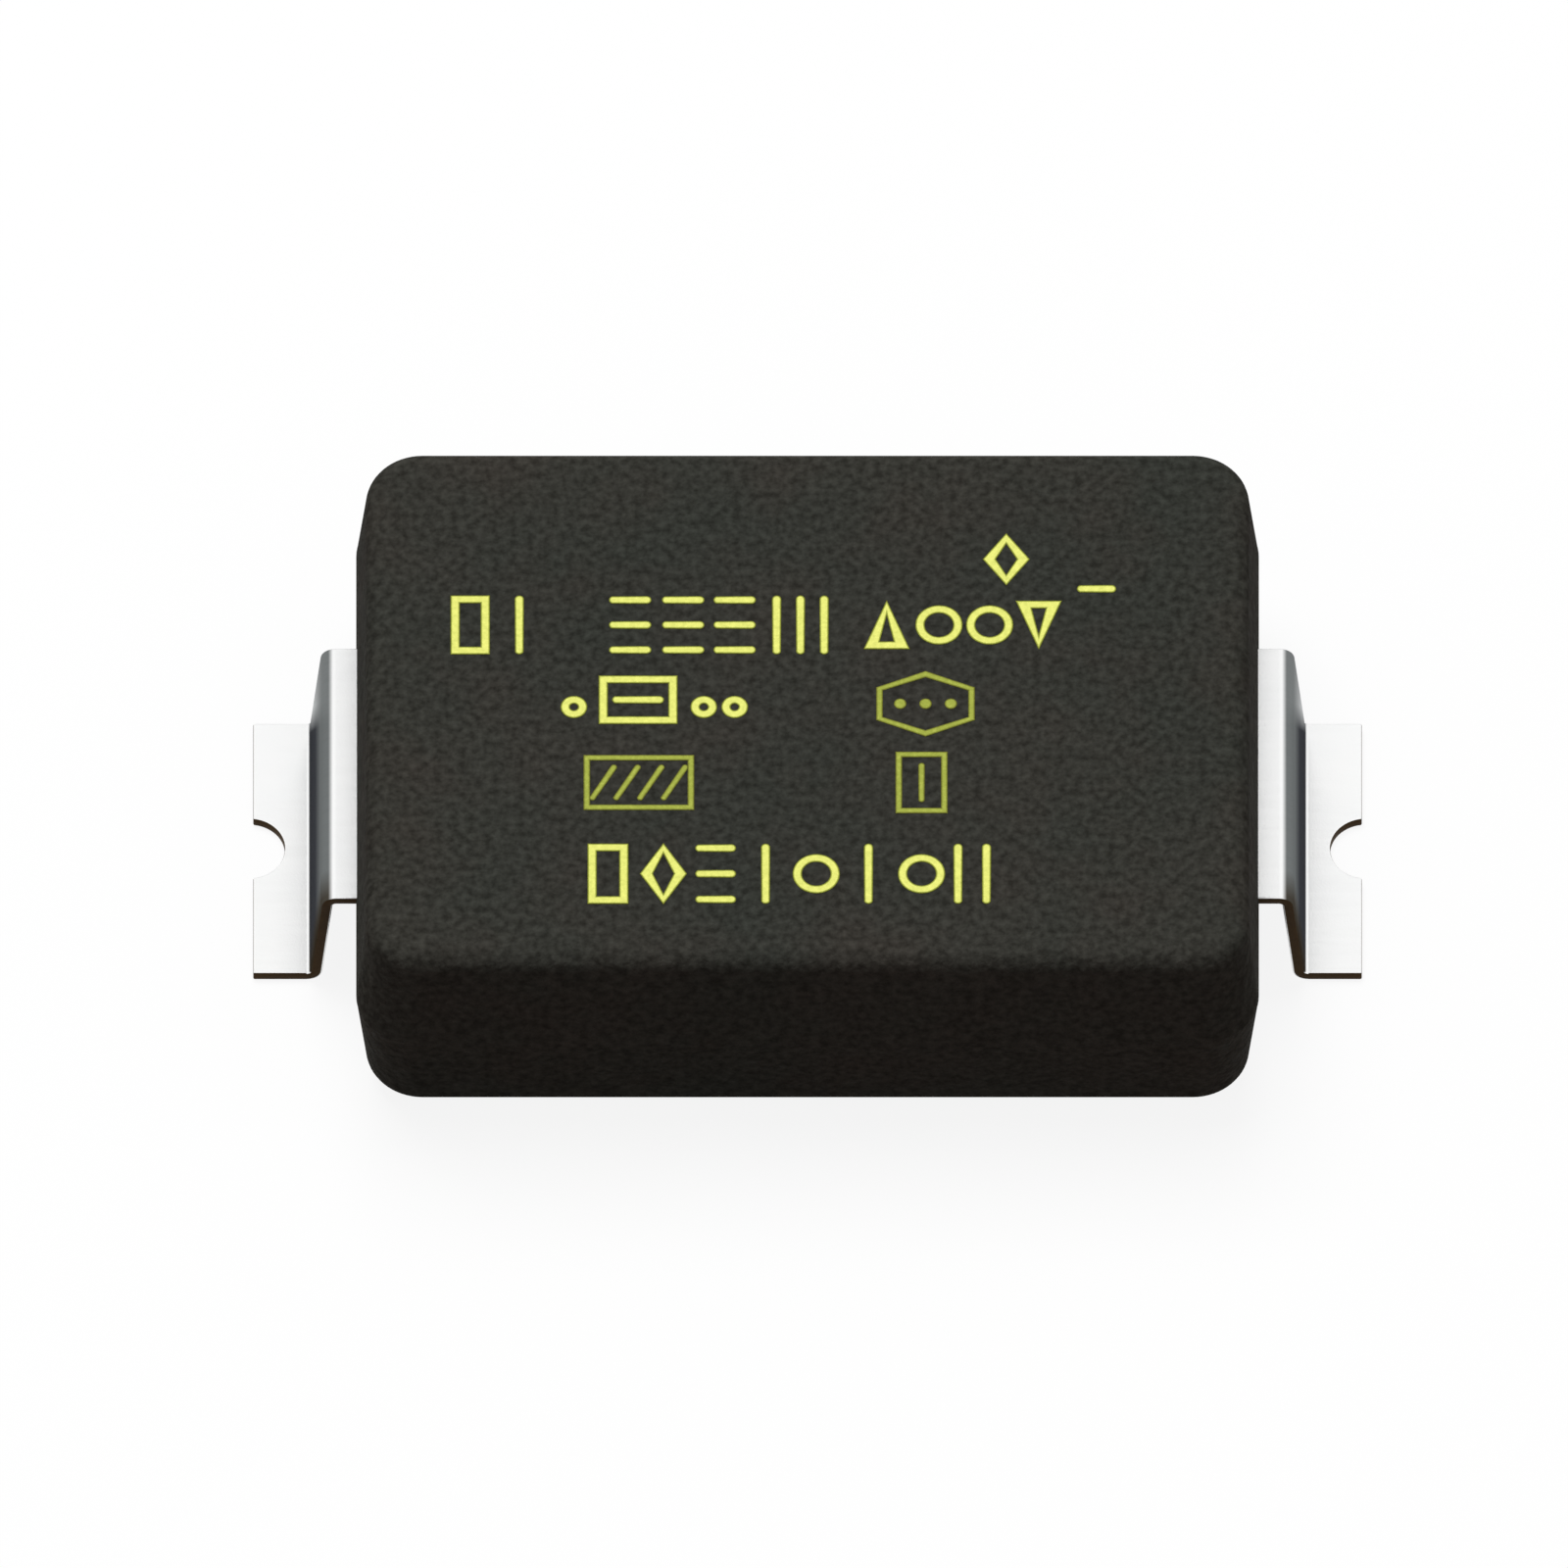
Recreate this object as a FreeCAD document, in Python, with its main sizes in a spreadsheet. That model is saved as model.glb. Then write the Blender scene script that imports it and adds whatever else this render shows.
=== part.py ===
# Surface-mount safety capacitor.
# A ceramic disc with a metal layer on each face lies flat in a block of moulded epoxy.
# A flat strip is soldered to each face of the disc. It leaves the block at its parting line,
# bends down outside and ends in a foot that is soldered to a circuit board.
# X runs along the block from one foot to the other, Z points up from the board,
# and the origin is on the board, under the middle of the block.

import FreeCAD, Part
import math
import os
import Sketcher

# Driving sizes
# Lengths are in millimetres and angles in degrees.
SIZES = {
    # moulded case, measured at the parting line halfway up
    "case_length": 11.4,
    "case_width": 8.1,
    "case_height": 3.2,
    "case_corner_radius": 0.7,
    "case_edge_radius": 0.25,
    "draft_angle": 5.0,
    "standoff": 0.175,
    # strip that both terminals are bent from
    "strip_thickness": 0.15,
    "strip_width": 3.8,
    "bend_inner_radius": 0.05,
    # outside the case: straight run, leaning riser, flat foot with a half-round notch
    "exit_run": 0.25,
    "riser_lean": 5.0,
    "terminal_reach": 1.3,
    "notch_radius": 0.45,
    "notch_offset": 0.05,
    # inside the case: shoulder, narrower tongue, jog up or down to the disc, leg on the disc
    "shoulder_inset": 0.55,
    "jog_inset": 0.8,
    "jog_slope": 45.0,
    "tongue_width": 2.2,
    "tongue_corner_radius": 0.5,
    "leg_overrun": 1.2,
    # ceramic disc with a metal layer on each face
    "disc_diameter": 6.4,
    "disc_thickness": 1.2,
    "disc_edge_radius": 0.12,
    "electrode_diameter": 5.6,
    "electrode_thickness": 0.04,
    # solder between a metal layer and the leg on it
    "solder_gap": 0.06,
    "solder_height": 0.14,
    "solder_foot_radius": 1.9,
    "solder_crown_radius": 1.45,
}

# How far a cutting outline stands clear of the material that it cuts
CUT_CLEARANCE = 1.0

# Sizes that follow from the driving ones
PARTING_HEIGHT = "(Sizes.standoff + Sizes.case_height / 2)"
BEND_RADIUS = "(Sizes.bend_inner_radius + Sizes.strip_thickness / 2)"
CASE_SIDE = "(Sizes.case_length / 2)"
FOOT_TIP = "(Sizes.case_length / 2 + Sizes.terminal_reach)"
LAYER_FACE = "(Sizes.disc_thickness / 2 + Sizes.electrode_thickness)"
LEG_RISE = "(" + LAYER_FACE + " + Sizes.solder_gap + Sizes.strip_thickness / 2)"

# Signs of the two sides of the disc
UP = 1
DOWN = -1

HALF_TURN = 180.0
QUARTER_TURN = 90.0
START = 1
END = 2
CENTRE = 3
ORIGIN = (-1, 1)
POSITION_TOLERANCE = 1e-4

doc = FreeCAD.newDocument("safety_capacitor")


# Spreadsheet

def fill_sheet():
    sheet = doc.addObject("Spreadsheet::Sheet", "Sizes")
    for row, (alias, value) in enumerate(SIZES.items(), start=1):
        sheet.set("A" + str(row), alias)
        sheet.set("B" + str(row), str(value))
        sheet.setAlias("B" + str(row), alias)
    doc.recompute()


def number(feature, expression):
    return float(feature.evalExpression(expression))


# Sketch helpers

def new_sketch(body, name, role, offset="0"):
    plane = [datum for datum in body.Origin.OriginFeatures if datum.Role == role][0]
    sketch = body.newObject("Sketcher::SketchObject", name)
    sketch.AttachmentSupport = [(plane, "")]
    sketch.MapMode = "FlatFace"
    sketch.setExpression("AttachmentOffset.Base.z", offset)
    return sketch


def bind(sketch, index, expression):
    sketch.setExpression("Constraints[" + str(index) + "]", expression)


def pin(sketch, direction, geometry, point, expression):
    # A distance from the origin is kept positive by naming its two ends in the right order
    value = number(sketch, expression)
    if value >= 0:
        ends = (*ORIGIN, geometry, point)
    else:
        ends = (geometry, point, *ORIGIN)
        expression = "-(" + expression + ")"
    index = sketch.addConstraint(Sketcher.Constraint(direction, *ends, abs(value)))
    bind(sketch, index, expression)


def add_line(sketch, start, end):
    first = FreeCAD.Vector(start[0], start[1], 0)
    last = FreeCAD.Vector(end[0], end[1], 0)
    return sketch.addGeometry(Part.LineSegment(first, last), False)


def add_rectangle(sketch, left, right, low, high):
    x0, x1 = number(sketch, left), number(sketch, right)
    y0, y1 = number(sketch, low), number(sketch, high)
    corners = [(x0, y0), (x1, y0), (x1, y1), (x0, y1)]
    lines = [add_line(sketch, corners[i], corners[(i + 1) % 4]) for i in range(4)]
    for i in range(4):
        sketch.addConstraint(Sketcher.Constraint("Coincident", lines[i], END, lines[(i + 1) % 4], START))
    for i, direction in enumerate(["Horizontal", "Vertical", "Horizontal", "Vertical"]):
        sketch.addConstraint(Sketcher.Constraint(direction, lines[i]))
    pin(sketch, "DistanceX", lines[0], START, left)
    pin(sketch, "DistanceX", lines[1], START, right)
    pin(sketch, "DistanceY", lines[0], START, low)
    pin(sketch, "DistanceY", lines[2], START, high)


def add_circle(sketch, x_expression, radius_expression):
    centre = FreeCAD.Vector(number(sketch, x_expression), 0, 0)
    circle = Part.Circle(centre, FreeCAD.Vector(0, 0, 1), number(sketch, radius_expression))
    index = sketch.addGeometry(circle, False)
    radius = Sketcher.Constraint("Radius", index, number(sketch, radius_expression))
    bind(sketch, sketch.addConstraint(radius), radius_expression)
    if number(sketch, x_expression) == 0:
        sketch.addConstraint(Sketcher.Constraint("Coincident", index, CENTRE, *ORIGIN))
        return
    sketch.addConstraint(Sketcher.Constraint("PointOnObject", index, CENTRE, -1))
    pin(sketch, "DistanceX", index, CENTRE, x_expression)


def through_pocket(body, name, sketch):
    before = body.Tip.Shape.Volume
    pocket = body.newObject("PartDesign::Pocket", name)
    pocket.Profile = sketch
    pocket.SideType = "Two sides"
    pocket.Type = "ThroughAll"
    pocket.Type2 = "ThroughAll"
    doc.recompute()
    if pocket.Shape.Volume >= before:
        raise RuntimeError(name + " removes nothing")
    return pocket


def round_edges(body, name, chosen, radius):
    base = body.Tip
    edges = ["Edge" + str(i) for i, edge in enumerate(base.Shape.Edges, start=1) if chosen(edge)]
    fillet = body.newObject("PartDesign::Fillet", name)
    fillet.Base = (base, edges)
    fillet.setExpression("Radius", radius)
    doc.recompute()
    return fillet


def near(first, second):
    return abs(first - second) < POSITION_TOLERANCE


def level(edge):
    heights = [vertex.Z for vertex in edge.Vertexes]
    return near(min(heights), max(heights))


def level_at(edge, height):
    return level(edge) and near(edge.Vertexes[0].Z, height)


def faces_where(feature, chosen):
    return ["Face" + str(i) for i, face in enumerate(feature.Shape.Faces, start=1) if chosen(face)]


# Moulded case

def make_case_block():
    # One half is drafted away from the parting line, where the case is largest, and mirrored
    body = doc.addObject("PartDesign::Body", "CaseBlock")
    outline = new_sketch(body, "CaseParting", "XY_Plane", PARTING_HEIGHT)
    half_length, half_width = "Sizes.case_length / 2", "Sizes.case_width / 2"
    add_rectangle(outline, "-" + half_length, half_length, "-" + half_width, half_width)
    doc.recompute()
    half = body.newObject("PartDesign::Pad", "CaseUpperHalf")
    half.Profile = outline
    half.setExpression("Length", "Sizes.case_height / 2")
    doc.recompute()

    draft = body.newObject("PartDesign::Draft", "CaseDraft")
    draft.Base = (half, faces_where(half, lambda face: near(face.normalAt(0, 0).z, 0)))
    draft.NeutralPlane = (half, faces_where(half, lambda face: near(face.normalAt(0, 0).z, -1)))
    draft.setExpression("Angle", "Sizes.draft_angle")
    doc.recompute()

    top = number(half, "Sizes.standoff + Sizes.case_height")
    round_edges(body, "CaseCorners", lambda edge: not level(edge), "Sizes.case_corner_radius")
    rounded = round_edges(body, "CaseRim", lambda edge: level_at(edge, top), "Sizes.case_edge_radius")

    whole = body.newObject("PartDesign::Mirrored", "CaseLowerHalf")
    whole.TransformMode = "Whole shape"
    parting = number(half, PARTING_HEIGHT)
    whole.MirrorPlane = (rounded, faces_where(rounded, lambda face: near(face.CenterOfMass.z, parting)))
    body.Tip = whole
    doc.recompute()
    if not math.isclose(whole.Shape.Volume, 2 * rounded.Shape.Volume, rel_tol=POSITION_TOLERANCE):
        raise RuntimeError("the two halves of the case don't meet")
    return body


# Terminals

def add_bent_path(sketch, corners, radius):
    # Straight runs between the corners, joined by tangent arcs of one radius
    points = [FreeCAD.Vector(x, z, 0) for x, z in corners]
    cut_backs = [0.0]
    turns = []
    for before, corner, after in zip(points, points[1:], points[2:]):
        arriving = (corner - before).normalize()
        leaving = (after - corner).normalize()
        turn = math.atan2(arriving.cross(leaving).z, arriving.dot(leaving))
        turns.append(turn)
        cut_backs.append(radius * math.tan(abs(turn) / 2))
    cut_backs.append(0.0)
    runs = []
    for i in range(len(points) - 1):
        along = (points[i + 1] - points[i]).normalize()
        start = points[i] + along * cut_backs[i]
        end = points[i + 1] - along * cut_backs[i + 1]
        runs.append(add_line(sketch, (start.x, start.y), (end.x, end.y)))
    bends = []
    for i, turn in enumerate(turns):
        arriving = sketch.Geometry[runs[i]]
        leaving = sketch.Geometry[runs[i + 1]]
        along = (arriving.EndPoint - arriving.StartPoint).normalize()
        side = math.copysign(1, turn)
        centre = arriving.EndPoint + FreeCAD.Vector(-along.y, along.x, 0) * radius * side
        ends = (arriving.EndPoint, leaving.StartPoint) if side > 0 else (leaving.StartPoint, arriving.EndPoint)
        first, last = [math.atan2((end - centre).y, (end - centre).x) for end in ends]
        arc = Part.ArcOfCircle(Part.Circle(centre, FreeCAD.Vector(0, 0, 1), radius), first, last)
        bend = sketch.addGeometry(arc, False)
        near_end, far_end = (START, END) if side > 0 else (END, START)
        sketch.addConstraint(Sketcher.Constraint("Tangent", runs[i], END, bend, near_end))
        sketch.addConstraint(Sketcher.Constraint("Tangent", bend, far_end, runs[i + 1], START))
        bends.append(bend)
    return runs, bends


def make_terminal(label, side_of_disc, heading):
    # The foot points along +X here, and heading turns the whole terminal about Z
    body = doc.addObject("PartDesign::Body", label)
    body.Label = label
    path = new_sketch(body, label + "_path", "XZ_Plane")
    foot_height = "Sizes.strip_thickness / 2"
    bend_start = CASE_SIDE + " + Sizes.exit_run"
    jog_start = CASE_SIDE + " - Sizes.jog_inset"
    leg_height = PARTING_HEIGHT + (" + " if side_of_disc == UP else " - ") + LEG_RISE
    riser_angle = "(" + str(QUARTER_TURN) + " + Sizes.riser_lean) * 1 deg"
    jog_angle = "(" + str(HALF_TURN) + (" - " if side_of_disc == UP else " + ") + "Sizes.jog_slope) * 1 deg"

    radius = number(path, BEND_RADIUS)
    lean = math.radians(number(path, "Sizes.riser_lean"))
    slope = math.radians(number(path, "Sizes.jog_slope"))
    low, middle, leg = [number(path, height) for height in (foot_height, PARTING_HEIGHT, leg_height)]
    riser_top = number(path, bend_start) + radius * math.tan((math.pi / 2 - lean) / 2)
    riser_foot = riser_top + (middle - low) * math.tan(lean)
    jog_top = number(path, jog_start) - radius * math.tan(slope / 2)
    jog_end = jog_top - abs(leg - middle) / math.tan(slope)
    corners = [
        (number(path, FOOT_TIP), low),
        (riser_foot, low),
        (riser_top, middle),
        (jog_top, middle),
        (jog_end, leg),
        (-number(path, "Sizes.leg_overrun"), leg),
    ]
    runs, bends = add_bent_path(path, corners, radius)
    foot, riser, exit_run, jog, leg_run = runs
    for run in (foot, exit_run, leg_run):
        path.addConstraint(Sketcher.Constraint("Horizontal", run))
    for bend in bends:
        bind(path, path.addConstraint(Sketcher.Constraint("Radius", bend, radius)), BEND_RADIUS)
    for run, angle in ((riser, riser_angle), (jog, jog_angle)):
        value = math.radians(number(path, angle))
        bind(path, path.addConstraint(Sketcher.Constraint("Angle", run, value)), angle)
    pin(path, "DistanceX", foot, START, FOOT_TIP)
    pin(path, "DistanceY", foot, START, foot_height)
    pin(path, "DistanceX", exit_run, START, bend_start)
    pin(path, "DistanceX", exit_run, END, jog_start)
    pin(path, "DistanceY", exit_run, START, PARTING_HEIGHT)
    pin(path, "DistanceX", leg_run, END, "-Sizes.leg_overrun")
    pin(path, "DistanceY", leg_run, END, leg_height)

    section = new_sketch(body, label + "_section", "YZ_Plane", FOOT_TIP)
    half_width = "Sizes.strip_width / 2"
    add_rectangle(section, "-" + half_width, half_width, "0", "Sizes.strip_thickness")
    doc.recompute()
    strip = body.newObject("PartDesign::AdditivePipe", label + "_strip")
    strip.Profile = section
    strip.Spine = (path, ["Edge" + str(i + 1) for i in range(len(path.Shape.Edges))])
    doc.recompute()
    spine_length = sum(edge.Length for edge in path.Shape.Edges)
    expected = spine_length * number(path, "Sizes.strip_width * Sizes.strip_thickness")
    if not math.isclose(strip.Shape.Volume, expected, rel_tol=POSITION_TOLERANCE):
        raise RuntimeError(label + " has the wrong volume: " + str(strip.Shape.Volume) + ", not " + str(expected))

    sides = new_sketch(body, label + "_tongue_sides", "XY_Plane")
    shoulder = CASE_SIDE + " - Sizes.shoulder_inset"
    beyond_end = "-Sizes.leg_overrun - " + str(CUT_CLEARANCE)
    beyond_side = half_width + " + " + str(CUT_CLEARANCE)
    half_tongue = "Sizes.tongue_width / 2"
    add_rectangle(sides, beyond_end, shoulder, half_tongue, beyond_side)
    add_rectangle(sides, beyond_end, shoulder, "-(" + beyond_side + ")", "-" + half_tongue)
    through_pocket(body, label + "_tongue", sides)
    leg_end = -number(path, "Sizes.leg_overrun")

    def on_leg_end(edge):
        places = [vertex.Point for vertex in edge.Vertexes]
        upright = near(places[0].x, places[-1].x) and near(places[0].y, places[-1].y)
        return upright and near(places[0].x, leg_end)

    round_edges(body, label + "_leg_end", on_leg_end, "Sizes.tongue_corner_radius")

    notch = new_sketch(body, label + "_notch_outline", "XY_Plane")
    add_circle(notch, FOOT_TIP + " + Sizes.notch_offset", "Sizes.notch_radius")
    through_pocket(body, label + "_notch", notch)
    body.Placement = FreeCAD.Placement(FreeCAD.Vector(), FreeCAD.Rotation(FreeCAD.Vector(0, 0, 1), heading))
    return body


# Ceramic disc and its metal layers

def make_disc():
    body = doc.addObject("PartDesign::Body", "ceramic_disc")
    body.Label = "ceramic_disc"
    outline = new_sketch(body, "DiscOutline", "XY_Plane", PARTING_HEIGHT)
    add_circle(outline, "0", "Sizes.disc_diameter / 2")
    disc = body.newObject("PartDesign::Pad", "DiscThickness")
    disc.Profile = outline
    disc.SideType = "Symmetric"
    disc.setExpression("Length", "Sizes.disc_thickness")
    doc.recompute()

    def on_rim(edge):
        return isinstance(edge.Curve, Part.Circle)

    round_edges(body, "DiscRim", on_rim, "Sizes.disc_edge_radius")
    return body


def make_electrode(label, side_of_disc):
    layer = doc.addObject("Part::Cylinder", label)
    layer.Label = label
    layer.setExpression("Radius", "Sizes.electrode_diameter / 2")
    layer.setExpression("Height", "Sizes.electrode_thickness")
    if side_of_disc == UP:
        base = PARTING_HEIGHT + " + Sizes.disc_thickness / 2"
    else:
        base = PARTING_HEIGHT + " - " + LAYER_FACE
    layer.setExpression("Placement.Base.z", base)
    return layer


# Solder

def make_solder(label, side_of_disc, terminal):
    # A low cone on the metal layer, with the leg lying in its crown
    cone = doc.addObject("Part::Cone", label + "_cone")
    cone.setExpression("Height", "Sizes.solder_height")
    foot, crown = "Sizes.solder_foot_radius", "Sizes.solder_crown_radius"
    if side_of_disc == UP:
        base = PARTING_HEIGHT + " + " + LAYER_FACE
        lower, upper = foot, crown
    else:
        base = PARTING_HEIGHT + " - " + LAYER_FACE + " - Sizes.solder_height"
        lower, upper = crown, foot
    cone.setExpression("Radius1", lower)
    cone.setExpression("Radius2", upper)
    cone.setExpression("Placement.Base.z", base)
    solder = doc.addObject("Part::Cut", label)
    solder.Label = label
    solder.Base = cone
    solder.Tool = terminal
    return solder


def make_case(contents):
    # The epoxy fills everything round the pieces that it is moulded over
    block = make_case_block()
    filled = doc.addObject("Part::MultiFuse", "CaseContents")
    filled.Shapes = contents
    case = doc.addObject("Part::Cut", "molded_case")
    case.Label = "molded_case"
    case.Base = block
    case.Tool = filled
    doc.recompute()
    return case


# Assembly and export

def check(pieces):
    for feature in doc.Objects:
        for fault in ("Invalid", "Error"):
            if fault in feature.State:
                raise RuntimeError(feature.Label + " is marked " + fault)
    for piece in pieces:
        shape = piece.Shape
        if shape.isNull() or not shape.isValid() or len(shape.Solids) != 1:
            raise RuntimeError(piece.Label + " isn't one valid solid")


def main():
    fill_sheet()
    left = make_terminal("left_terminal", UP, HALF_TURN)
    right = make_terminal("right_terminal", DOWN, 0.0)
    disc = make_disc()
    layers = [make_electrode("upper_electrode", UP), make_electrode("lower_electrode", DOWN)]
    doc.recompute()
    joints = [make_solder("upper_solder_joint", UP, left), make_solder("lower_solder_joint", DOWN, right)]
    doc.recompute()
    contents = [left, right, disc] + layers + joints
    case = make_case(contents)
    pieces = [case] + contents
    check(pieces)
    os.makedirs("parts", exist_ok=True)
    for piece in pieces:
        piece.Shape.exportStep("parts/" + piece.Label + ".step")


main()
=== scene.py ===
# A surface-mount safety capacitor, dressed for its studio picture.
# Lengths are in metres. X runs along the case, Z is up, and the origin is on the floor under its middle.

import math

import bmesh
import bpy
from mathutils import Matrix, Vector


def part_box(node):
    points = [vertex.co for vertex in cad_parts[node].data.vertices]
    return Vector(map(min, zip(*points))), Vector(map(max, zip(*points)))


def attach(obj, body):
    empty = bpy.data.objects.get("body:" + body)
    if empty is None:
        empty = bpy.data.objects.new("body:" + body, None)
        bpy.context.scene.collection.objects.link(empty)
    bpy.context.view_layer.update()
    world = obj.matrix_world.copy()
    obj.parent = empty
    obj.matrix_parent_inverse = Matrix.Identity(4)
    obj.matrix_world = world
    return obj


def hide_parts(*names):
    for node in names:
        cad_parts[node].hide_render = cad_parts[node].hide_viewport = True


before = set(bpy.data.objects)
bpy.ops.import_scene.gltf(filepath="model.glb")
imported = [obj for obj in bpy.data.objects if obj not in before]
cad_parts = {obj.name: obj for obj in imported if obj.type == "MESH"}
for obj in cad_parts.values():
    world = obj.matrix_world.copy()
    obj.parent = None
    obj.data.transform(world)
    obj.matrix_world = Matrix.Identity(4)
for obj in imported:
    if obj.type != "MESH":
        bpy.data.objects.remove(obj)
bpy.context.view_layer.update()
MM = 0.001

# Corners nearer than this are one corner
TOUCHING = MM / 10000

# Frame of the photograph, in its own pixels
PHOTO_SIDE = 1600
PIXELS_PER_MM = 80.8
CASE_CENTRE_PIXEL = (824, 792.2)
CAMERA_ELEVATION = math.radians(56)
CAMERA_DISTANCE = 200 * MM
CAMERA_NEAR = 1 * MM
CAMERA_FAR = 10.0

# Moulded case
case_low, case_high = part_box("molded_case")
CASE_HALF_LENGTH = 5.7 * MM
CASE_HALF_WIDTH = 4.05 * MM
CASE_DRAFT = math.radians(5)
CASE_CORNER = 0.7 * MM
CASE_RIM = 0.25 * MM
CASE_CORNER_STEPS = 16
CASE_RIM_STEPS = 8
CASE_CREASE = math.radians(18)
FLASH = 0.003 * MM
FLASH_HEIGHT = 0.024 * MM
EPOXY_GRAIN = 0.04 * MM
parting_height = (case_low.z + case_high.z) / 2

# Print. The case's top face lies the ink's thickness under its box. Strokes are in millimetres
INK_THICKNESS = 0.008 * MM
INK_EDGE = 0.6 * INK_THICKNESS
INK_SHOULDER = 0.025 * MM
BOLD_STROKE = 0.12
FINE_STROKE = 0.085
BOLD_COVER = 1.0
FINE_COVER = 0.62
face_height = case_high.z - INK_THICKNESS

# Strip that both terminals are bent from
STRIP = 0.15 * MM
STRIP_WIDTH = 3.8 * MM
BEND_INNER = 0.05 * MM
EXIT_RUN = 0.25 * MM
RISER_LEAN = math.radians(5)
NOTCH_RADIUS = 0.45 * MM
NOTCH_OFFSET = 0.05 * MM
SHOULDER_INSET = 0.55 * MM
SHOULDER_STEP = 0.02 * MM
JOG_INSET = 0.8 * MM
JOG_SLOPE = math.radians(45)
TONGUE_WIDTH = 2.2 * MM
TONGUE_CORNER = 0.5 * MM
TONGUE_CORNER_STEPS = 8
EDGE_ROUNDING = 0.018 * MM
EDGE_STEPS = 2
SHARP_CORNER = math.radians(60)
STRIP_CREASE = math.radians(50)
BEND_STEPS = 14
NOTCH_STEPS = 28
bend_radius = BEND_INNER + STRIP / 2
lean_turn = math.pi / 2 - RISER_LEAN
leg_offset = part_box("left_terminal")[1].z - STRIP / 2 - parting_height
# How far the riser's outer face reaches, where the tin is rubbed dull and has painted shade
riser_outer_face = (
    CASE_HALF_LENGTH + EXIT_RUN + (bend_radius + STRIP / 2) / math.cos(RISER_LEAN)
    + (parting_height - bend_radius) * math.tan(RISER_LEAN)
)

# Studio: the floor looks white and keeps the shadow, but throws little light back on the part
FLOOR_SIZE = 2.0
FLOOR_GREY = (0.12, 0.12, 0.12, 1)
FLOOR_GLOW = 0.88
FLOOR_BOUNCE = (0.19, 0.1, 0.09, 1)
WHITE = (1, 1, 1, 1)
SKY_LEVEL = 0.3
KEY_DIRECTION = (-0.12, 0.32, 0.92)
KEY_DISTANCE = 0.4
KEY_SIZE = 0.25
KEY_LEVEL = 0.82


# Shader tools

class Socket:
    """A node's output that can be used in arithmetic."""

    def __init__(self, finish, output):
        self.finish = finish
        self.output = output

    def maths(self, operation, *others):
        return self.finish.node("ShaderNodeMath", {"operation": operation}, [self, *others])

    def __add__(self, other):
        return self.maths("ADD", other)

    def __mul__(self, other):
        return self.maths("MULTIPLY", other)

    def __sub__(self, other):
        return self.maths("SUBTRACT", other)

    def __rsub__(self, other):
        return self.finish.node("ShaderNodeMath", {"operation": "SUBTRACT"}, [other, self])

    def __abs__(self):
        return self.maths("ABSOLUTE")

    __radd__ = __add__
    __rmul__ = __mul__


class Finish:
    """The node tree of a material, a floor or the world, and the one method that adds a node to it."""

    def __init__(self, owner):
        self.owner = owner
        self.owner.use_nodes = True
        self.tree = self.owner.node_tree
        self.tree.nodes.clear()

    def node(self, kind, settings=None, inputs=(), output=0):
        """A new node: its settings come first, then the values or links of its sockets."""
        made = self.tree.nodes.new(kind)
        for name, value in (settings or {}).items():
            if name == "stops":
                self.set_stops(made.color_ramp, value)
            else:
                setattr(made, name, value)
        pairs = inputs.items() if isinstance(inputs, dict) else enumerate(inputs)
        for name, value in pairs:
            if isinstance(value, Socket):
                self.tree.links.new(value.output, made.inputs[name])
            else:
                made.inputs[name].default_value = value
        return Socket(self, made.outputs[output]) if len(made.outputs) else made

    @staticmethod
    def set_stops(ramp, stops):
        while len(ramp.elements) < len(stops):
            ramp.elements.new(1.0)
        for element, (position, value) in zip(ramp.elements, stops):
            element.position = position
            element.color = value

    def place(self):
        return self.node("ShaderNodeTexCoord", output="Object")

    def axis(self, name):
        return self.node("ShaderNodeSeparateXYZ", inputs=[self.place()], output=name)

    def noise(self, size, detail=2.0, roughness=0.5, stretch=(1, 1, 1)):
        """Noise whose features are about that size, longer along an axis with a stretch above 1."""
        shrink = [1 / share for share in stretch]
        scaled = self.node("ShaderNodeMapping", inputs={"Vector": self.place(), "Scale": shrink})
        settings = {"noise_dimensions": "3D"}
        inputs = {"Vector": scaled, "Scale": 1 / size, "Detail": detail, "Roughness": roughness}
        return self.node("ShaderNodeTexNoise", settings, inputs, "Fac")

    def levels(self, value, low, high, bottom=0.0, top=1.0):
        """From bottom to top as the value goes from low to high, and level beyond them."""
        return self.node("ShaderNodeMapRange", {"clamp": True}, [value, low, high, bottom, top])

    def blend(self, factor, first, second, how="MIX"):
        settings = {"data_type": "RGBA", "blend_type": how}
        return self.node("ShaderNodeMix", settings, {0: factor, 6: first, 7: second}, 2)

    def bump(self, height, distance):
        return self.node("ShaderNodeBump", inputs={"Height": height, "Distance": distance})

    def seen(self):
        """One for rays that show a thing as it looks, zero for rays that carry light from it."""
        rays = ("Is Camera Ray", "Is Glossy Ray", "Is Transmission Ray")
        camera, glossy, through = [self.node("ShaderNodeLightPath", output=ray) for ray in rays]
        return camera + glossy + through

    def surface(self, **inputs):
        inputs = {name.replace("_", " "): value for name, value in inputs.items()}
        shader = self.node("ShaderNodeBsdfPrincipled", inputs=inputs)
        self.node("ShaderNodeOutputMaterial", inputs=[shader])
        return self.owner


def colour(red, green, blue):
    """An sRGB colour from 0 to 255 as the linear values that shaders take."""
    shares = [c / 255 for c in (red, green, blue)]
    return (*[s / 12.92 if s <= 0.04045 else ((s + 0.055) / 1.055) ** 2.4 for s in shares], 1.0)


# Finishes

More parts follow.
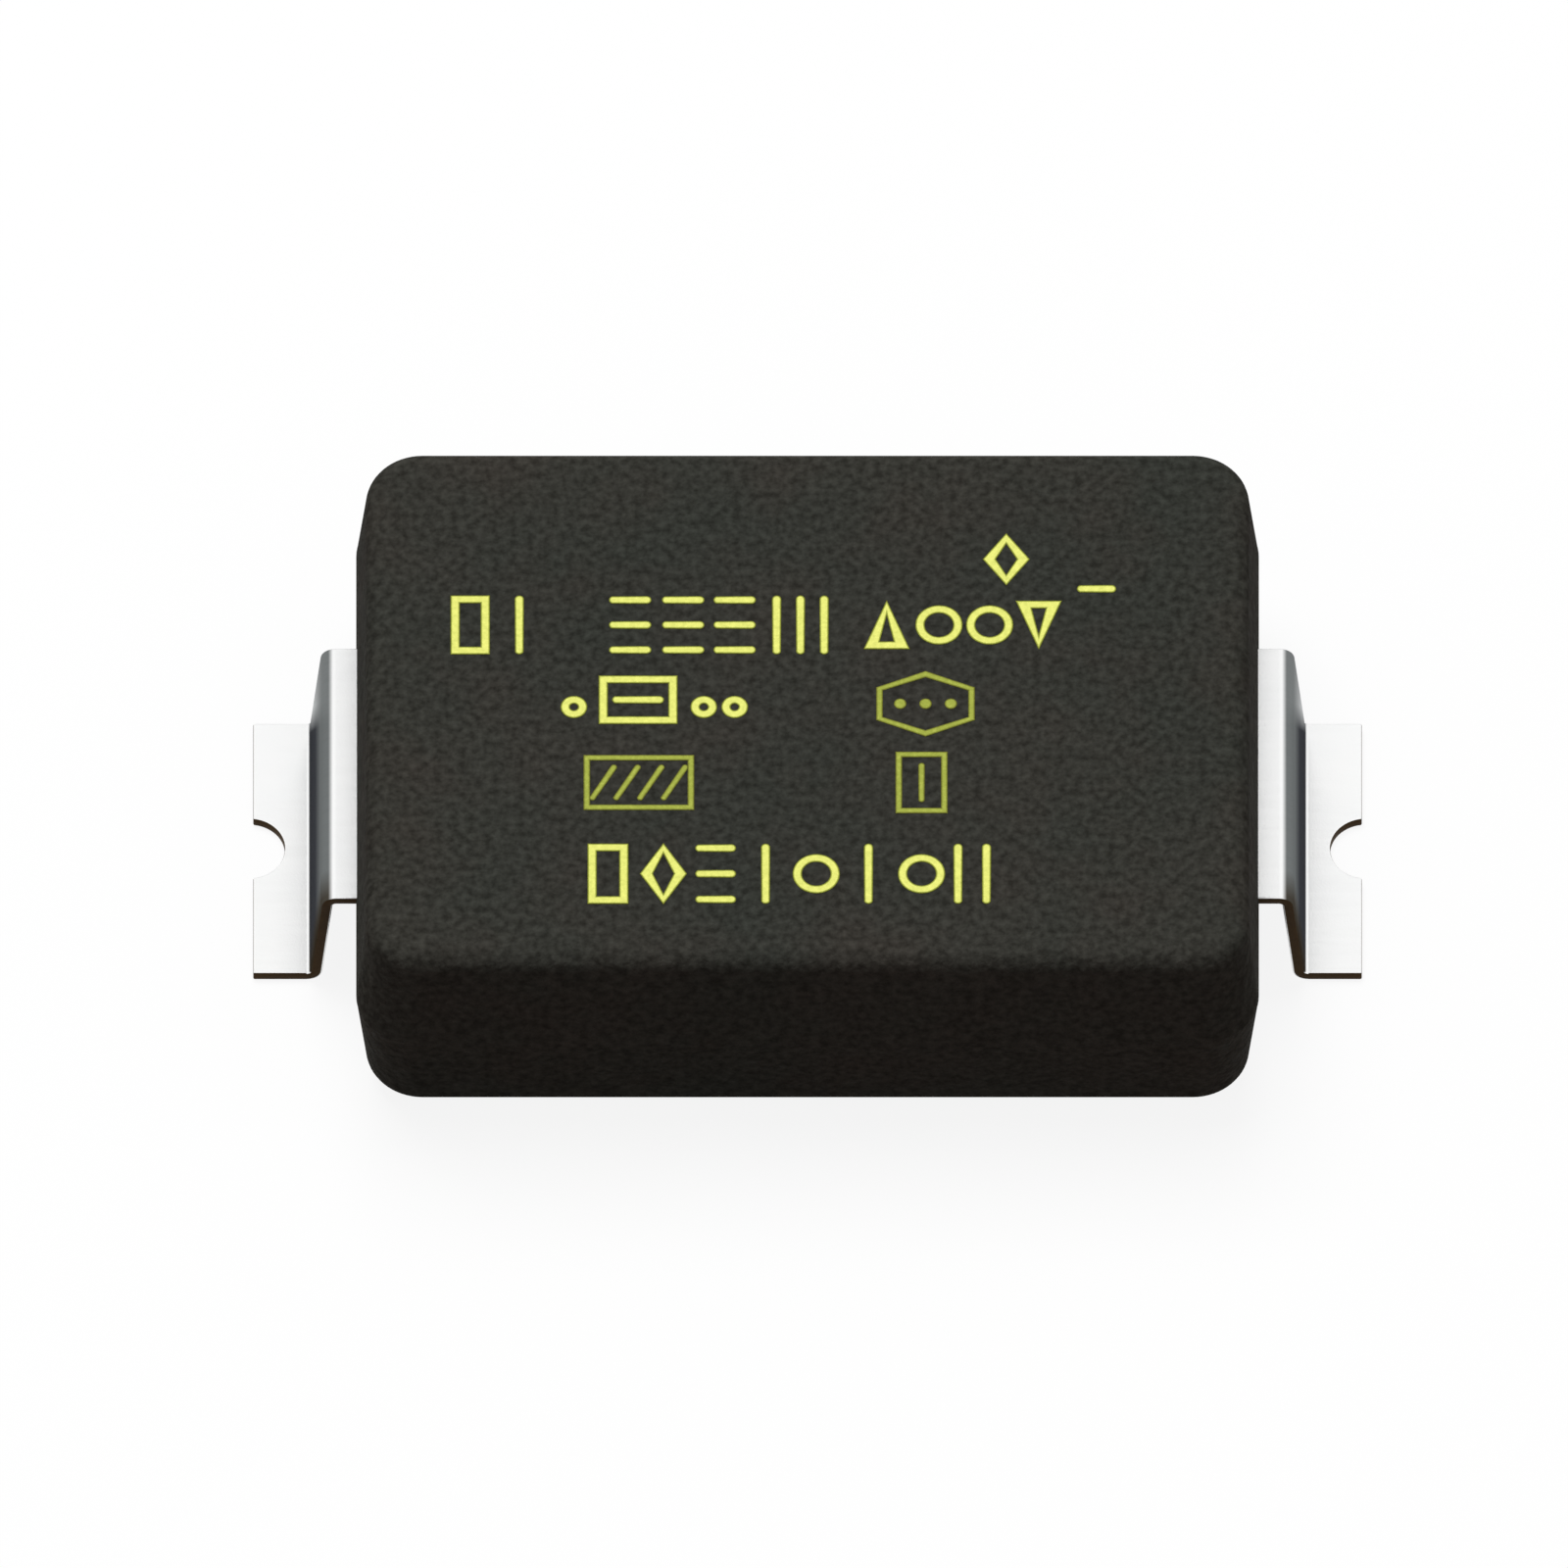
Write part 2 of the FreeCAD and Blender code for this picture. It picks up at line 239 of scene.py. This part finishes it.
def make_epoxy():
    """Filled moulding epoxy: dull, with the fine grain of the spark-eroded mould."""
    finish = Finish(bpy.data.materials.new("moulded_epoxy"))
    patches = finish.levels(finish.noise(3.2 * MM, 3), 0.35, 0.65)
    warm = finish.levels(finish.noise(1.1 * MM, 3), 0.45, 0.75)
    grain = finish.levels(finish.noise(0.105 * MM, 2), 0.3, 0.7)
    base = finish.blend(patches, colour(61, 63, 58), colour(65, 64, 59))
    base = finish.blend(warm * 0.25, base, colour(71, 61, 56))
    base = finish.blend(grain, finish.blend(1.0, base, (0.45, 0.44, 0.43, 1), "MULTIPLY"), base)
    rough = finish.levels(finish.noise(0.3 * MM), 0.3, 0.7, 0.82, 0.94)
    normal = finish.bump(finish.noise(0.13 * MM, 2, 0.5), EPOXY_GRAIN)
    return finish.surface(Base_Color=base, Roughness=rough, Specular_IOR_Level=0.04, Normal=normal)


def make_tin():
    """Bright tin plating, rubbed dull on the riser's outer face where the forming tool slid, with painted
    shade and a painted reflection laid over it there.
    """
    finish = Finish(bpy.data.materials.new("tin_plating"))
    across, along, up = [finish.axis(name) for name in "XYZ"]

    # Where the tool rubbed the tin dull and shade is painted on it: 1 on the riser's outer face, 0 on the
    # foot and the exit
    reach = abs(across) + up * math.tan(RISER_LEAN)
    dull_and_shaded = finish.levels(reach, riser_outer_face - 0.14 * MM, riser_outer_face - 0.085 * MM)
    dull_and_shaded = dull_and_shaded * finish.levels(reach, riser_outer_face + 0.005 * MM, riser_outer_face + 0.03 * MM, 1.0, 0.0)
    dull_and_shaded = dull_and_shaded * finish.levels(up, STRIP, STRIP * 1.15)

    # Painted shade on the riser's outer face: darkest low down, with a painted reflection bright at its far
    # corner, and brown along its near edge
    painted_shade_fade = finish.levels(up, 0.9 * MM, 1.65 * MM)
    # Painted shade: dark grey low on the riser, mid grey higher up
    dull_and_shaded_colour = finish.blend(painted_shade_fade, colour(66, 68, 73), colour(126, 130, 130))
    # Painted reflection: a light patch at the far end of the riser, strongest low down
    painted_highlight_corner = finish.levels(along + up * 0.6, 1.85 * MM, 2.2 * MM)
    painted_highlight_corner = painted_highlight_corner * finish.levels(up, 0.5 * MM, 1.9 * MM, 1.0, 0.0)
    dull_and_shaded_colour = finish.blend(painted_highlight_corner, dull_and_shaded_colour, colour(228, 231, 231))
    near_edge = finish.levels(along, -1.45 * MM, -1.85 * MM)
    dull_and_shaded_colour = finish.blend(near_edge * 0.8, dull_and_shaded_colour, colour(64, 54, 38))

    streaks = finish.noise(0.05 * MM, 3, 0.6, (14, 1, 14))
    clouds = finish.noise(0.7 * MM, 3)
    bright = finish.blend(clouds, colour(250, 251, 251), colour(254, 254, 253))
    rough = finish.levels(streaks, 0.3, 0.7, 0.3, 0.36) + dull_and_shaded * 0.3
    normal = finish.bump(finish.noise(0.03 * MM, 2), 0.0012 * MM)
    # The riser's outer face takes the dull tin with its painted shade and painted reflection
    base = finish.blend(dull_and_shaded, bright, dull_and_shaded_colour)
    tint = (0.3, 0.3, 0.3, 1)
    return finish.surface(
        Base_Color=base, Metallic=1.0, Roughness=rough, Specular_Tint=tint, Normal=normal
    )


def make_bare_edge():
    """Copper alloy on the cut edges of the strip, tarnished brown and torn by the shears."""
    finish = Finish(bpy.data.materials.new("bare_cut_edge"))
    base = finish.blend(finish.noise(0.2 * MM, 3), colour(64, 48, 28), colour(90, 70, 39))
    tear = finish.noise(0.03 * MM, 2, 0.5, (1, 1, 3))
    normal = finish.bump(tear, 0.004 * MM)
    return finish.surface(Base_Color=base, Roughness=0.6, Specular_IOR_Level=0.1, Normal=normal)


def make_ink():
    """Yellow marking ink, thinner and darker towards the edge of each stroke."""
    finish = Finish(bpy.data.materials.new("marking_ink"))
    cover = finish.node("ShaderNodeAttribute", {"attribute_name": "cover"}, output="Fac")
    worn = finish.levels(finish.noise(0.05 * MM, 3, 0.6), 0.3, 0.7, 0.0, 0.16)
    stops = [(0.0, colour(92, 92, 30)), (0.55, colour(168, 178, 74)), (1.0, colour(250, 252, 134))]
    base = finish.node("ShaderNodeValToRGB", {"stops": stops}, [cover - worn], "Color")
    normal = finish.bump(finish.noise(0.04 * MM), 0.006 * MM)
    return finish.surface(Base_Color=base, Roughness=0.6, Specular_IOR_Level=0.2, Normal=normal)


def make_ceramic():
    """Fired ceramic of the disc."""
    finish = Finish(bpy.data.materials.new("sintered_ceramic"))
    base = finish.blend(finish.noise(0.15 * MM, 4), colour(170, 138, 100), colour(190, 160, 122))
    normal = finish.bump(finish.noise(0.04 * MM), 0.004 * MM)
    return finish.surface(Base_Color=base, Roughness=0.7, Normal=normal)


def make_silver():
    """Silver layer fired on the disc."""
    finish = Finish(bpy.data.materials.new("fired_silver"))
    base = finish.blend(finish.noise(0.2 * MM, 3), colour(208, 206, 200), colour(226, 224, 218))
    normal = finish.bump(finish.noise(0.03 * MM), 0.003 * MM)
    return finish.surface(Base_Color=base, Metallic=1.0, Roughness=0.5, Normal=normal)


def make_solder():
    """Solder between the disc and the legs."""
    finish = Finish(bpy.data.materials.new("solder"))
    base = finish.blend(finish.noise(0.3 * MM, 3), colour(176, 177, 180), colour(204, 205, 206))
    normal = finish.bump(finish.noise(0.1 * MM), 0.004 * MM)
    return finish.surface(Base_Color=base, Metallic=1.0, Roughness=0.32, Normal=normal)


# Mesh tools

def finish_mesh(mesh, name, materials):
    """An object in the scene, made from the finished mesh."""
    bmesh.ops.recalc_face_normals(mesh, faces=mesh.faces)
    data = bpy.data.meshes.new(name)
    mesh.to_mesh(data)
    mesh.free()
    made = bpy.data.objects.new(name, data)
    bpy.context.scene.collection.objects.link(made)
    for material in materials:
        data.materials.append(material)
    return made


def shade_smooth(made, limit):
    """Smooth shading between faces that meet at less than the limit, with flat faces kept flat."""
    made.data.shade_smooth()
    shaped = bmesh.new()
    shaped.from_mesh(made.data)
    for edge in shaped.edges:
        edge.smooth = len(edge.link_faces) == 2 and edge.calc_face_angle(0) < limit
    shaped.to_mesh(made.data)
    shaped.free()
    weights = made.modifiers.new("flat_faces_first", "WEIGHTED_NORMAL")
    weights.mode = "FACE_AREA"
    weights.keep_sharp = True


def extruded(mesh, face, move):
    """The end face after the strip has grown by that much."""
    made = bmesh.ops.extrude_discrete_faces(mesh, faces=[face])["faces"][0]
    bmesh.ops.translate(mesh, verts=made.verts, vec=move)
    return made


# Moulded case

def add_case_half(mesh, height, way):
    """Half the block, from the parting line up or down, tapered as the mould lets it go."""
    half = bmesh.new()
    bmesh.ops.create_cube(half, size=2)
    reach = (CASE_HALF_LENGTH - FLASH, CASE_HALF_WIDTH - FLASH, height / 2)
    bmesh.ops.scale(half, vec=reach, verts=half.verts)
    bmesh.ops.translate(half, vec=(0, 0, height / 2), verts=half.verts)
    crown = [v for v in half.verts if v.co.z > height / 2]
    inset = height * math.tan(CASE_DRAFT)
    bmesh.ops.scale(half, vec=(1 - inset / CASE_HALF_LENGTH, 1 - inset / CASE_HALF_WIDTH, 1), verts=crown)
    upright = [e for e in half.edges if abs(e.verts[0].co.z - e.verts[1].co.z) > height / 2]
    bmesh.ops.bevel(
        half, geom=upright, offset=CASE_CORNER, offset_type="OFFSET", segments=CASE_CORNER_STEPS,
        profile=0.5, affect="EDGES", material=-1,
    )
    rim = [e for e in half.edges if all(v.co.z > height - TOUCHING for v in e.verts)]
    bmesh.ops.bevel(
        half, geom=rim, offset=CASE_RIM * math.tan((math.pi / 2 - CASE_DRAFT) / 2), offset_type="OFFSET",
        segments=CASE_RIM_STEPS, profile=0.5, affect="EDGES", material=-1,
    )
    inside = [f for f in half.faces if all(v.co.z < TOUCHING for v in f.verts)]
    bmesh.ops.delete(half, geom=inside, context="FACES")
    brim = [e for e in half.edges if e.is_boundary]
    root = list({v for e in brim for v in e.verts})
    flash = bmesh.ops.extrude_edge_only(half, edges=brim)["geom"]
    crest = [v for v in flash if isinstance(v, bmesh.types.BMVert)]
    growth = (CASE_HALF_LENGTH / (CASE_HALF_LENGTH - FLASH), CASE_HALF_WIDTH / (CASE_HALF_WIDTH - FLASH), 1)
    bmesh.ops.scale(half, vec=growth, verts=crest)
    bmesh.ops.translate(half, vec=(0, 0, FLASH_HEIGHT / 2), verts=root)
    bmesh.ops.scale(half, vec=(1, 1, way), verts=half.verts)
    bmesh.ops.translate(half, vec=(0, 0, parting_height), verts=half.verts)
    data = bpy.data.meshes.new("case_half")
    half.to_mesh(data)
    half.free()
    mesh.from_mesh(data)
    bpy.data.meshes.remove(data)


def build_case(epoxy):
    mesh = bmesh.new()
    add_case_half(mesh, face_height - parting_height, 1)
    add_case_half(mesh, parting_height - case_low.z, -1)
    bmesh.ops.remove_doubles(mesh, verts=mesh.verts, dist=TOUCHING)
    case = finish_mesh(mesh, "case", [epoxy])
    shade_smooth(case, CASE_CREASE)
    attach(case, "root")
    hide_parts("molded_case")


# Terminals

def bent(mesh, face, centre, angle):
    """The end face after the strip has been bent round a line along Y."""
    made = bmesh.ops.spin(
        mesh, geom=[face], cent=centre, axis=(0, 1, 0), angle=angle, steps=BEND_STEPS, use_duplicate=False
    )
    bmesh.ops.delete(mesh, geom=[face], context="FACES_ONLY")
    return [f for f in made["geom_last"] if isinstance(f, bmesh.types.BMFace)][0]


def add_foot(mesh, tip, foot_start):
    """The flat foot with the half-round notch in its end. Gives its face towards the riser."""
    half = STRIP_WIDTH / 2
    notch_half = math.sqrt(NOTCH_RADIUS ** 2 - NOTCH_OFFSET ** 2)
    first = mesh.verts.new((tip, -notch_half, 0))
    sweep = -2 * math.atan2(notch_half, NOTCH_OFFSET)
    arc = bmesh.ops.spin(
        mesh, geom=[first], cent=(tip + NOTCH_OFFSET, 0, 0), axis=(0, 0, 1), angle=sweep,
        steps=NOTCH_STEPS, use_duplicate=False,
    )
    notch_end = [v for v in arc["geom_last"] if isinstance(v, bmesh.types.BMVert)][0]
    corners = [mesh.verts.new(place) for place in (
        (tip, half, 0), (foot_start, half, 0), (foot_start, -half, 0), (tip, -half, 0))]
    for start, end in zip([notch_end, *corners], [*corners, first]):
        mesh.edges.new((start, end))
    plate = bmesh.ops.contextual_create(mesh, geom=mesh.edges[:])["faces"]
    lid = bmesh.ops.extrude_face_region(mesh, geom=plate)
    bmesh.ops.translate(
        mesh, vec=(0, 0, STRIP), verts=[v for v in lid["geom"] if isinstance(v, bmesh.types.BMVert)]
    )
    return [f for f in mesh.faces if all(abs(v.co.x - foot_start) < TOUCHING for v in f.verts)][0]


def ease_edges(mesh, leg_face):
    """Round the two corners of the leg's end, then take the sharpness off the whole strip."""
    tips = [e for e in leg_face.edges if abs(e.verts[0].co.z - e.verts[1].co.z) > STRIP / 2]
    bmesh.ops.bevel(
        mesh, geom=tips, offset=TONGUE_CORNER, offset_type="OFFSET", segments=TONGUE_CORNER_STEPS,
        profile=0.5, affect="EDGES", material=-1,
    )
    bmesh.ops.recalc_face_normals(mesh, faces=mesh.faces)
    sharp = [e for e in mesh.edges if e.calc_face_angle(0) > SHARP_CORNER]
    bmesh.ops.bevel(
        mesh, geom=sharp, offset=EDGE_ROUNDING, offset_type="OFFSET", segments=EDGE_STEPS,
        profile=0.5, affect="EDGES", material=-1,
    )


def is_cut(face, foot_start):
    """Whether a face was cut by the shears: the strip's two sides, the foot's end and its notch."""
    face.normal_update()
    on_side = abs(face.normal.y) > 0.99
    on_foot_end = face.calc_center_median().x > foot_start and abs(face.normal.z) < 0.5
    return on_side or on_foot_end


def build_terminal(node, heading, tin, bare_edge):
    """One strip, made with its foot towards +X and then turned about Z."""
    low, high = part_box(node)
    tip = max(-low.x, high.x)
    leg_end = -min(-low.x, high.x)
    way = 1 if high.z > parting_height + STRIP else -1
    mesh = bmesh.new()

    # Foot and riser
    corner_cut = bend_radius * math.tan(lean_turn / 2)
    riser_top = CASE_HALF_LENGTH + EXIT_RUN + corner_cut
    riser_foot = riser_top + (parting_height - STRIP / 2) * math.tan(RISER_LEAN)
    foot_start = riser_foot + corner_cut
    end = add_foot(mesh, tip, foot_start)
    end = bent(mesh, end, (foot_start, 0, STRIP / 2 + bend_radius), lean_turn)
    riser_run = (parting_height - STRIP / 2) / math.cos(RISER_LEAN) - 2 * corner_cut
    up_riser = Vector((-math.sin(RISER_LEAN), 0, math.cos(RISER_LEAN)))
    end = extruded(mesh, end, up_riser * riser_run)

    # Exit, shoulder and tongue
    end = bent(mesh, end, (CASE_HALF_LENGTH + EXIT_RUN, 0, parting_height - bend_radius), -lean_turn)
    end = extruded(mesh, end, (-SHOULDER_INSET - EXIT_RUN, 0, 0))
    end = extruded(mesh, end, (-SHOULDER_STEP, 0, 0))
    bmesh.ops.scale(mesh, vec=(1, TONGUE_WIDTH / STRIP_WIDTH, 1), verts=end.verts)
    end = extruded(mesh, end, (SHOULDER_INSET + SHOULDER_STEP - JOG_INSET, 0, 0))

    # Jog up or down, and the leg that lies on the disc
    jog_start = CASE_HALF_LENGTH - JOG_INSET
    end = bent(mesh, end, (jog_start, 0, parting_height + way * bend_radius), way * JOG_SLOPE)
    jog_run = leg_offset / math.sin(JOG_SLOPE) - 2 * bend_radius * math.tan(JOG_SLOPE / 2)
    along_jog = Vector((-math.cos(JOG_SLOPE), 0, way * math.sin(JOG_SLOPE)))
    end = extruded(mesh, end, along_jog * jog_run)
    middle = sum((v.co for v in end.verts), Vector()) / 4
    end_turn = Vector((-math.sin(JOG_SLOPE), 0, -way * math.cos(JOG_SLOPE)))
    end = bent(mesh, end, middle + end_turn * bend_radius, -way * JOG_SLOPE)
    middle = sum((v.co for v in end.verts), Vector()) / 4
    end = extruded(mesh, end, (leg_end - middle.x, 0, 0))

    ease_edges(mesh, end)
    for face in mesh.faces:
        face.material_index = 1 if is_cut(face, foot_start) else 0
    bmesh.ops.rotate(mesh, cent=(0, 0, 0), matrix=Matrix.Rotation(heading, 3, "Z"), verts=mesh.verts)
    terminal = finish_mesh(mesh, node + "_strip", [tin, bare_edge])
    shade_smooth(terminal, STRIP_CREASE)
    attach(terminal, "root")
    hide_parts(node)


# Print

class Stencil:
    """Flat strokes laid on the case's top face, in millimetres from its middle."""

    def __init__(self, stroke, cover):
        """The width of the strokes, and how well the ink covers, where 1 is fully."""
        self.mesh = bmesh.new()
        self.layer = self.mesh.verts.layers.float.new("cover")
        self.stroke = stroke
        self.cover = cover

    def lay(self, verts, x, y, turn=0.0):
        angle = Matrix.Rotation(math.radians(turn), 3, "Z")
        bmesh.ops.rotate(self.mesh, cent=(0, 0, 0), matrix=angle, verts=verts)
        bmesh.ops.translate(self.mesh, vec=(x * MM, y * MM, 0), verts=verts)

    def circle(self, radius, sides, filled=True):
        made = bmesh.ops.create_circle(self.mesh, cap_ends=filled, radius=radius * MM, segments=sides)
        return made["verts"]

    def bar(self, x, y, length, turn=90.0):
        verts = self.circle(self.stroke / 2, 16)
        reach = (length - self.stroke) * MM / 2
        for vertex in verts:
            vertex.co.x += math.copysign(reach, vertex.co.x)
        self.lay(verts, x, y, turn)

    def dot(self, x, y, size):
        self.lay(self.circle(size / 2, 24), x, y)

    def outline(self, x, y, wide, tall, sides=4, turn=0.0):
        """A closed outline of a polygon or ring with all its corners on an ellipse of that size."""
        loops = []
        for inset in (0.0, self.stroke / math.cos(math.pi / sides)):
            verts = self.circle(0.5, sides, filled=False)
            size = (wide - 2 * inset, tall - 2 * inset, 1)
            self.lay(verts, 0, 0, turn)
            bmesh.ops.scale(self.mesh, vec=size, verts=verts)
            self.lay(verts, x, y)
            loops += list({e for v in verts for e in v.link_edges})
        bmesh.ops.bridge_loops(self.mesh, edges=loops)

    def ring(self, x, y, wide):
        self.outline(x, y, wide, wide, 48)

    def frame(self, x, y, wide, tall):
        corner = math.sqrt(2)
        self.outline(x, y, wide * corner, tall * corner, 4, 45)

    def diamond(self, x, y, wide, tall):
        self.outline(x, y, wide, tall)

    def stack(self, x, y, wide, tall):
        """Three level bars, one over the other."""
        for step in (-0.5, 0.0, 0.5):
            self.bar(x, y + tall * step, wide, 0)

    def fence(self, x, y, wide, tall, count, turn=90.0):
        """Upright or leaning bars side by side."""
        for step in range(count):
            self.bar(x + wide * (step / (count - 1) - 0.5), y, tall, turn)

    def raise_ink(self):
        """Give the strokes their thickness, with soft shoulders."""
        mesh = self.mesh
        lid = bmesh.ops.extrude_face_region(mesh, geom=mesh.faces[:])["geom"]
        rim = [v for v in lid if isinstance(v, bmesh.types.BMVert)]
        tops = [f for f in lid if isinstance(f, bmesh.types.BMFace)]
        bmesh.ops.translate(mesh, vec=(0, 0, INK_EDGE), verts=rim)
        bmesh.ops.recalc_face_normals(mesh, faces=mesh.faces)
        bmesh.ops.inset_region(mesh, faces=tops, thickness=INK_SHOULDER, depth=0.0, use_even_offset=True)
        for vertex in {v for face in tops for v in face.verts}:
            vertex[self.layer] = self.cover
            vertex.co.z = INK_THICKNESS
        bmesh.ops.translate(mesh, vec=(0, 0, face_height), verts=mesh.verts)
        return mesh


def build_print(ink):
    """Rows of plain geometric marks in place of the lettering."""
    bold = Stencil(BOLD_STROKE, BOLD_COVER)

    # Upper row, and the two marks over its end
    bold.diamond(2.51, 2.23, 0.6, 0.8)
    bold.frame(-4.26, 1.23, 0.5, 0.9)
    bold.bar(-3.64, 1.23, 0.9)
    for x in (-2.24, -1.57, -0.92):
        bold.stack(x, 1.23, 0.54, 0.76)
    bold.fence(-0.09, 1.23, 0.6, 0.9, 3)
    bold.outline(1.0, 1.11, 0.68, 1.0, 3, 0)
    for x in (1.66, 2.3):
        bold.ring(x, 1.23, 0.6)
    bold.outline(2.92, 1.35, 0.68, 1.0, 3, 180)
    bold.bar(3.65, 1.78, 0.5, 0)

    # Middle group
    bold.ring(-2.95, -0.02, 0.34)
    bold.frame(-2.14, 0.09, 1.0, 0.74)
    bold.bar(-2.14, 0.09, 0.66, 0)
    bold.ring(-1.31, -0.02, 0.34)
    bold.ring(-0.92, -0.02, 0.34)

    # Lower row
    bold.frame(-2.52, -2.56, 0.52, 0.92)
    bold.diamond(-1.82, -2.56, 0.6, 0.94)
    bold.stack(-1.16, -2.56, 0.52, 0.78)
    bold.bar(-0.53, -2.56, 0.92)
    bold.ring(0.11, -2.56, 0.6)
    bold.bar(0.77, -2.56, 0.92)
    bold.ring(1.44, -2.56, 0.6)
    bold.fence(2.08, -2.56, 0.36, 0.92, 2)

    # Three marks in a finer, thinner print
    fine = Stencil(FINE_STROKE, FINE_COVER)
    fine.outline(1.49, 0.03, 1.44, 1.0, 6, 0)
    for x in (1.17, 1.49, 1.81):
        fine.dot(x, 0.03, 0.16)
    fine.frame(-2.13, -1.17, 1.4, 0.84)
    fine.fence(-2.13, -1.17, 0.9, 0.62, 4, 60)
    fine.frame(1.44, -1.17, 0.66, 0.94)
    fine.bar(1.44, -1.17, 0.6)
    for name, stencil in (("bold_marks", bold), ("fine_marks", fine)):
        marks = finish_mesh(stencil.raise_ink(), name, [ink])
        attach(marks, "root")


# Studio

def make_floor():
    mesh = bmesh.new()
    bmesh.ops.create_grid(mesh, x_segments=1, y_segments=1, size=FLOOR_SIZE)
    finish = Finish(bpy.data.materials.new("studio_floor"))
    grey = finish.node("ShaderNodeBsdfDiffuse", inputs={"Color": FLOOR_GREY})
    glow = finish.node("ShaderNodeEmission", inputs={"Color": WHITE, "Strength": FLOOR_GLOW})
    looks = finish.node("ShaderNodeAddShader", inputs=[grey, glow])
    bounce = finish.node("ShaderNodeBsdfDiffuse", inputs={"Color": FLOOR_BOUNCE})
    mixed = finish.node("ShaderNodeMixShader", inputs=[finish.seen(), bounce, looks])
    finish.node("ShaderNodeOutputMaterial", inputs=[mixed])
    finish_mesh(mesh, "studio_floor", [finish.owner])


def make_world():
    """A white room that looks white and gives the part a dimmer, even light."""
    world = bpy.data.worlds.new("studio")
    bpy.context.scene.world = world
    finish = Finish(world)
    strength = finish.seen().maths("MAXIMUM", SKY_LEVEL)
    sky = finish.node("ShaderNodeBackground", inputs={"Color": WHITE, "Strength": strength})
    finish.node("ShaderNodeOutputWorld", inputs=[sky])


def add_softbox(name, direction, distance, size, level):
    """A square lamp that lights a face turned to it as brightly as the level says, where 1 is white."""
    light = bpy.data.lights.new(name, "AREA")
    light.size = size
    light.energy = level * math.pi ** 2 * distance ** 2
    lamp = bpy.data.objects.new(name, light)
    bpy.context.scene.collection.objects.link(lamp)
    towards = Vector(direction).normalized()
    lamp.visible_glossy = False
    lamp.location = towards * distance
    lamp.rotation_mode = "QUATERNION"
    lamp.rotation_quaternion = towards.to_track_quat("Z", "Y")


def make_camera():
    """The photograph's view: level lines stay parallel, and the middle of the case keeps its pixel."""
    data = bpy.data.cameras.new("camera")
    data.type = "ORTHO"
    data.ortho_scale = PHOTO_SIDE / PIXELS_PER_MM * MM
    data.clip_start = CAMERA_NEAR
    data.clip_end = CAMERA_FAR
    camera = bpy.data.objects.new("camera", data)
    bpy.context.scene.collection.objects.link(camera)
    back = Vector((0, -math.cos(CAMERA_ELEVATION), math.sin(CAMERA_ELEVATION)))
    up = Vector((0, math.sin(CAMERA_ELEVATION), math.cos(CAMERA_ELEVATION)))
    right = Vector((1, 0, 0))
    across = (PHOTO_SIDE / 2 - CASE_CENTRE_PIXEL[0]) / PIXELS_PER_MM * MM
    raised = (CASE_CENTRE_PIXEL[1] - PHOTO_SIDE / 2) / PIXELS_PER_MM * MM
    centre = Vector((0, 0, parting_height)) + right * across + up * raised
    camera.location = centre + back * CAMERA_DISTANCE
    camera.rotation_mode = "QUATERNION"
    camera.rotation_quaternion = back.to_track_quat("Z", "Y")
    bpy.context.scene.camera = camera


def dress_hidden_pieces():
    """Finishes for the pieces inside the case, which keep their CAD shapes."""
    finishes = {
        "ceramic_disc": make_ceramic(),
        "upper_electrode": make_silver(),
        "upper_solder_joint": make_solder(),
    }
    finishes["lower_electrode"] = finishes["upper_electrode"]
    finishes["lower_solder_joint"] = finishes["upper_solder_joint"]
    for node, material in finishes.items():
        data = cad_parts[node].data
        data.materials.clear()
        data.materials.append(material)


def main():
    bpy.context.scene.view_settings.view_transform = "Standard"
    make_camera()
    make_world()
    make_floor()
    add_softbox("key_softbox", KEY_DIRECTION, KEY_DISTANCE, KEY_SIZE, KEY_LEVEL)
    build_case(make_epoxy())
    tin, bare_edge = make_tin(), make_bare_edge()
    build_terminal("left_terminal", math.pi, tin, bare_edge)
    build_terminal("right_terminal", 0.0, tin, bare_edge)
    build_print(make_ink())
    dress_hidden_pieces()


main()
